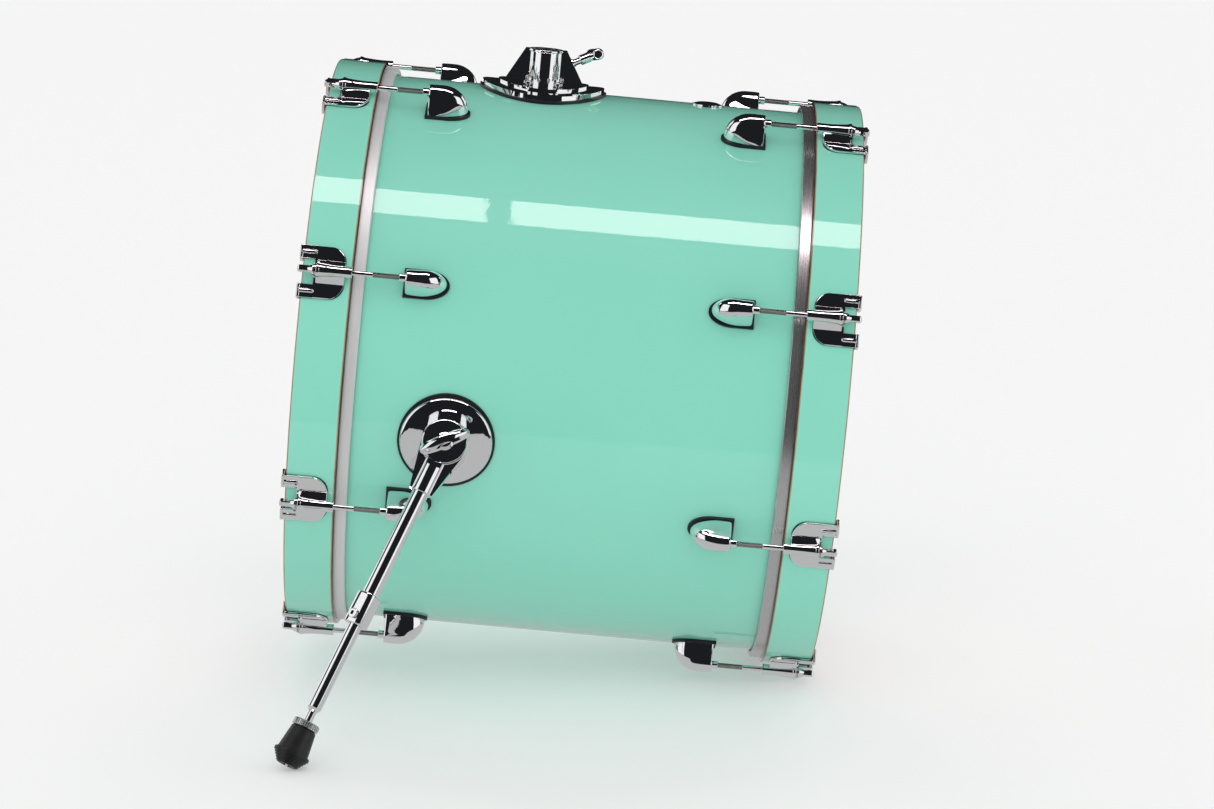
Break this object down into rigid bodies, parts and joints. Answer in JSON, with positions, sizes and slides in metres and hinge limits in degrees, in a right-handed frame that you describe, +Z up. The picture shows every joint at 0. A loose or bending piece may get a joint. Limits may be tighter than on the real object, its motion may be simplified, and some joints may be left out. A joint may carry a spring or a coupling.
{
  "type": "bass drum",
  "caption": "Bass drum on two folding telescoping spurs: lacquered ply shell, wooden hoops, claw hooks, key rods and bullet lugs, with a tom post receiver on top",
  "frame": {"origin": "on the floor, under the middle of the drum between the two spur feet; centre of the bottom of the bounding box", "axes": "+Z up; +X from the batter head to the front head, level; +Y to the side, along the line between the two feet. The drum axis is tipped 5.23 degrees about Y with the front end up"},
  "size_m": [0.5936, 0.9086, 0.6421],
  "materials": {
    "teal_lacquered_wood": "gloss teal lacquer over maple ply, natural wood at the hoop edges",
    "chrome": "polished chrome plate",
    "plated_steel": "nickel-plated steel screws, nuts and washers",
    "satin_aluminium": "satin rolled aluminium",
    "drum_head_film": "white drum-head film, plain, no print",
    "black_rubber": "matt black rubber",
    "black_nylon": "black nylon",
    "knurled_steel": "nickel plate, fine knurl"
  },
  "bodies": {
    "root": {"batter_flesh_hoop": "satin_aluminium", "batter_head": "drum_head_film", "batter_hoop": "teal_lacquered_wood", "claw_pads": "black_rubber", "claws": "chrome", "front_flesh_hoop": "satin_aluminium", "front_head": "drum_head_film", "front_hoop": "teal_lacquered_wood", "left_spur_base": "chrome", "left_spur_gasket": "black_rubber", "lug_gaskets": "black_rubber", "lug_screws": "plated_steel", "lug_washers": "plated_steel", "lugs": "chrome", "right_spur_base": "chrome", "right_spur_gasket": "black_rubber", "rod_washers": "plated_steel", "shell": "teal_lacquered_wood", "spur_screws": "plated_steel", "swivel_nuts": "chrome", "tom_base": "chrome", "tom_bushing": "black_nylon", "tom_clamp_shoe": "plated_steel", "tom_gasket": "black_rubber", "tom_nuts": "plated_steel", "tom_screws": "plated_steel", "vent_grommet": "chrome"},
    "front_rod_1": {"front_rod_1": "chrome"},
    "front_rod_2": {"front_rod_2": "chrome"},
    "front_rod_3": {"front_rod_3": "chrome"},
    "front_rod_4": {"front_rod_4": "chrome"},
    "front_rod_5": {"front_rod_5": "chrome"},
    "front_rod_6": {"front_rod_6": "chrome"},
    "front_rod_7": {"front_rod_7": "chrome"},
    "front_rod_8": {"front_rod_8": "chrome"},
    "batter_rod_1": {"batter_rod_1": "chrome"},
    "batter_rod_2": {"batter_rod_2": "chrome"},
    "batter_rod_3": {"batter_rod_3": "chrome"},
    "batter_rod_4": {"batter_rod_4": "chrome"},
    "batter_rod_5": {"batter_rod_5": "chrome"},
    "batter_rod_6": {"batter_rod_6": "chrome"},
    "batter_rod_7": {"batter_rod_7": "chrome"},
    "batter_rod_8": {"batter_rod_8": "chrome"},
    "left_leg": {"left_spur_socket": "chrome", "left_spur_outer_tube": "chrome", "left_spur_clamp": "chrome"},
    "left_inner_leg": {"left_spur_inner_rod": "chrome"},
    "left_foot": {"left_spur_foot": "black_rubber"},
    "left_lock_nut": {"left_spur_lock_nut": "knurled_steel"},
    "left_wing": {"left_spur_wing_screw": "chrome"},
    "left_clamp_key": {"left_spur_clamp_screw": "chrome"},
    "right_leg": {"right_spur_socket": "chrome", "right_spur_outer_tube": "chrome", "right_spur_clamp": "chrome"},
    "right_inner_leg": {"right_spur_inner_rod": "chrome"},
    "right_foot": {"right_spur_foot": "black_rubber"},
    "right_lock_nut": {"right_spur_lock_nut": "knurled_steel"},
    "right_wing": {"right_spur_wing_screw": "chrome"},
    "right_clamp_key": {"right_spur_clamp_screw": "chrome"},
    "tom_bolt": {"tom_clamp_bolt": "chrome"}
  },
  "joints": [
    {"name": "front_rod_1_turn", "type": "hinge", "parent": "root", "child": "front_rod_1", "pos_m": [0.20366, 0.11534, 0.61257], "axis": [0.9958, 0, 0.0912], "range_deg": [-360, 1080]},
    {"name": "front_rod_2_turn", "type": "hinge", "parent": "root", "child": "front_rod_2", "pos_m": [0.21853, 0.27846, 0.45013], "axis": [0.9958, 0, 0.0912], "range_deg": [-360, 1080]},
    {"name": "front_rod_3_turn", "type": "hinge", "parent": "root", "child": "front_rod_3", "pos_m": [0.23956, 0.27846, 0.22041], "axis": [0.9958, 0, 0.0912], "range_deg": [-360, 1080]},
    {"name": "front_rod_4_turn", "type": "hinge", "parent": "root", "child": "front_rod_4", "pos_m": [0.25443, 0.11534, 0.05797], "axis": [0.9958, 0, 0.0912], "range_deg": [-360, 1080]},
    {"name": "front_rod_5_turn", "type": "hinge", "parent": "root", "child": "front_rod_5", "pos_m": [0.25443, -0.11534, 0.05797], "axis": [0.9958, 0, 0.0912], "range_deg": [-360, 1080]},
    {"name": "front_rod_6_turn", "type": "hinge", "parent": "root", "child": "front_rod_6", "pos_m": [0.23956, -0.27846, 0.22041], "axis": [0.9958, 0, 0.0912], "range_deg": [-360, 1080]},
    {"name": "front_rod_7_turn", "type": "hinge", "parent": "root", "child": "front_rod_7", "pos_m": [0.21853, -0.27846, 0.45013], "axis": [0.9958, 0, 0.0912], "range_deg": [-360, 1080]},
    {"name": "front_rod_8_turn", "type": "hinge", "parent": "root", "child": "front_rod_8", "pos_m": [0.20366, -0.11534, 0.61257], "axis": [0.9958, 0, 0.0912], "range_deg": [-360, 1080]},
    {"name": "batter_rod_1_turn", "type": "hinge", "parent": "root", "child": "batter_rod_1", "pos_m": [-0.25443, 0.11534, 0.57064], "axis": [-0.9958, 0, -0.0912], "range_deg": [-360, 1080]},
    {"name": "batter_rod_2_turn", "type": "hinge", "parent": "root", "child": "batter_rod_2", "pos_m": [-0.23956, 0.27846, 0.4082], "axis": [-0.9958, 0, -0.0912], "range_deg": [-360, 1080]},
    {"name": "batter_rod_3_turn", "type": "hinge", "parent": "root", "child": "batter_rod_3", "pos_m": [-0.21853, 0.27846, 0.17848], "axis": [-0.9958, 0, -0.0912], "range_deg": [-360, 1080]},
    {"name": "batter_rod_4_turn", "type": "hinge", "parent": "root", "child": "batter_rod_4", "pos_m": [-0.20366, 0.11534, 0.01604], "axis": [-0.9958, 0, -0.0912], "range_deg": [-360, 1080]},
    {"name": "batter_rod_5_turn", "type": "hinge", "parent": "root", "child": "batter_rod_5", "pos_m": [-0.20366, -0.11534, 0.01604], "axis": [-0.9958, 0, -0.0912], "range_deg": [-360, 1080]},
    {"name": "batter_rod_6_turn", "type": "hinge", "parent": "root", "child": "batter_rod_6", "pos_m": [-0.21853, -0.27846, 0.17848], "axis": [-0.9958, 0, -0.0912], "range_deg": [-360, 1080]},
    {"name": "batter_rod_7_turn", "type": "hinge", "parent": "root", "child": "batter_rod_7", "pos_m": [-0.23956, -0.27846, 0.4082], "axis": [-0.9958, 0, -0.0912], "range_deg": [-360, 1080]},
    {"name": "batter_rod_8_turn", "type": "hinge", "parent": "root", "child": "batter_rod_8", "pos_m": [-0.25443, -0.11534, 0.57064], "axis": [-0.9958, 0, -0.0912], "range_deg": [-360, 1080]},
    {"name": "left_leg_fold", "type": "hinge", "parent": "root", "child": "left_leg", "pos_m": [0.11892, 0.3073, 0.28773], "axis": [-0.0379, 0.9092, 0.4145], "range_deg": [0, 108]},
    {"name": "left_leg_slide", "type": "slide", "parent": "left_leg", "child": "left_inner_leg", "axis": [0.4185, 0.3912, -0.8197], "range_m": [-0.08, 0.06]},
    {"name": "left_foot_screw", "type": "slide", "parent": "left_inner_leg", "child": "left_foot", "axis": [-0.4185, -0.3912, 0.8197], "range_m": [0, 0.008]},
    {"name": "left_lock_nut_screw", "type": "slide", "parent": "left_inner_leg", "child": "left_lock_nut", "axis": [-0.4185, -0.3912, 0.8197], "range_m": [0, 0.008]},
    {"name": "left_wing_turn", "type": "hinge", "parent": "root", "child": "left_wing", "pos_m": [0.11892, 0.3073, 0.28773], "axis": [-0.0379, 0.9092, 0.4145], "range_deg": [0, 450]},
    {"name": "left_clamp_key_turn", "type": "hinge", "parent": "left_leg", "child": "left_clamp_key", "pos_m": [0.19759, 0.38084, 0.13364], "axis": [0.3925, 0.736, 0.5516], "range_deg": [0, 450]},
    {"name": "right_leg_fold", "type": "hinge", "parent": "root", "child": "right_leg", "pos_m": [0.11892, -0.3073, 0.28773], "axis": [0.0379, 0.9092, -0.4145], "range_deg": [0, 108]},
    {"name": "right_leg_slide", "type": "slide", "parent": "right_leg", "child": "right_inner_leg", "axis": [0.4185, -0.3912, -0.8197], "range_m": [-0.08, 0.06]},
    {"name": "right_foot_screw", "type": "slide", "parent": "right_inner_leg", "child": "right_foot", "axis": [-0.4185, 0.3912, 0.8197], "range_m": [0, 0.008]},
    {"name": "right_lock_nut_screw", "type": "slide", "parent": "right_inner_leg", "child": "right_lock_nut", "axis": [-0.4185, 0.3912, 0.8197], "range_m": [0, 0.008]},
    {"name": "right_wing_turn", "type": "hinge", "parent": "root", "child": "right_wing", "pos_m": [0.11892, -0.3073, 0.28773], "axis": [-0.0379, -0.9092, 0.4145], "range_deg": [0, 450]},
    {"name": "right_clamp_key_turn", "type": "hinge", "parent": "right_leg", "child": "right_clamp_key", "pos_m": [0.19759, -0.38084, 0.13364], "axis": [0.3925, -0.736, 0.5516], "range_deg": [0, 450]},
    {"name": "tom_bolt_turn", "type": "hinge", "parent": "root", "child": "tom_bolt", "pos_m": [0.03033, 0, 0.61372], "axis": [-0.8904, -0.3117, 0.3317], "range_deg": [0, 720]}
  ],
  "couplings": [
    {"joint": "left_lock_nut_screw", "follows": "left_foot_screw", "ratio": 1},
    {"joint": "right_lock_nut_screw", "follows": "right_foot_screw", "ratio": 1}
  ]
}
